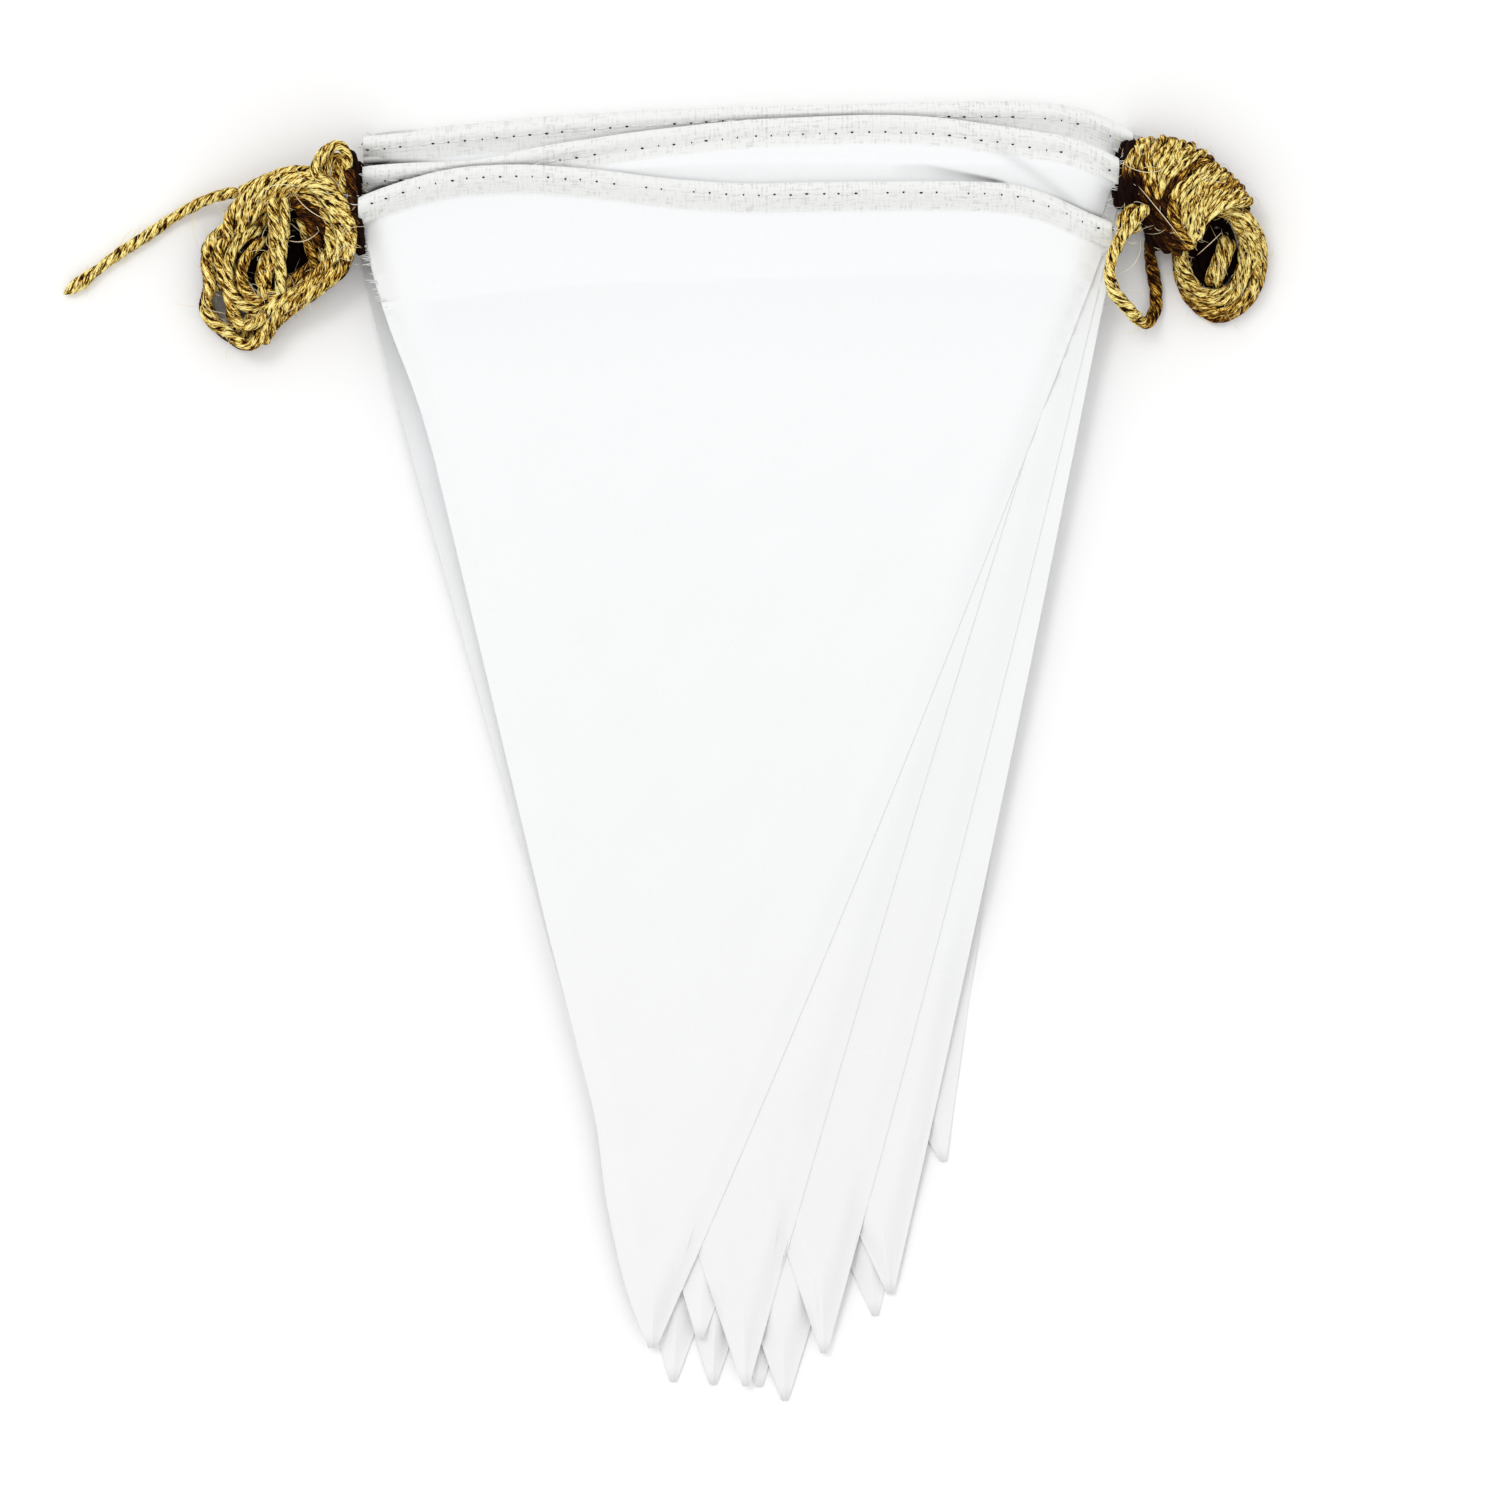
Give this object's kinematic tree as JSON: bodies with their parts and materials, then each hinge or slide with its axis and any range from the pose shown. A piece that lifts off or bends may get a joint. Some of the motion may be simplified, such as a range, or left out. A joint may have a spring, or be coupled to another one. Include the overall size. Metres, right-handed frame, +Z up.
{
  "type": "fabric bunting",
  "caption": "Plain white cloth pennant bunting stacked flat, with sewn casings on jute twine and a wound hank of spare twine at each end.",
  "frame": {"origin": "on the underside of the lowest pennant, where the stack rests on the table, at the middle of the picture's view", "axes": "+Z up out of the table, +Y from the pennants' points towards their casings, +X towards the hank with the eye"},
  "size_m": [0.3266, 0.352, 0.0248],
  "materials": {
    "cloth": "matt plain weave, undyed white",
    "twine": "hairy three-ply jute twine"
  },
  "bodies": {
    "root": {"hank_left": "twine", "hank_right": "twine", "pennant_01": "cloth", "pennant_02": "cloth", "pennant_03": "cloth", "pennant_04": "cloth", "pennant_05": "cloth", "pennant_06": "cloth", "pennant_07": "cloth", "pennant_08": "cloth", "pennant_09": "cloth", "pennant_10": "cloth", "pennant_11": "cloth", "twine_bight": "twine", "twine_loose_end": "twine", "twine_run_01": "twine", "twine_run_02": "twine", "twine_run_03": "twine", "twine_run_04": "twine", "twine_run_05": "twine", "twine_run_06": "twine", "twine_run_07": "twine", "twine_run_08": "twine", "twine_run_09": "twine", "twine_run_10": "twine", "twine_run_11": "twine"}
  },
  "joints": []
}
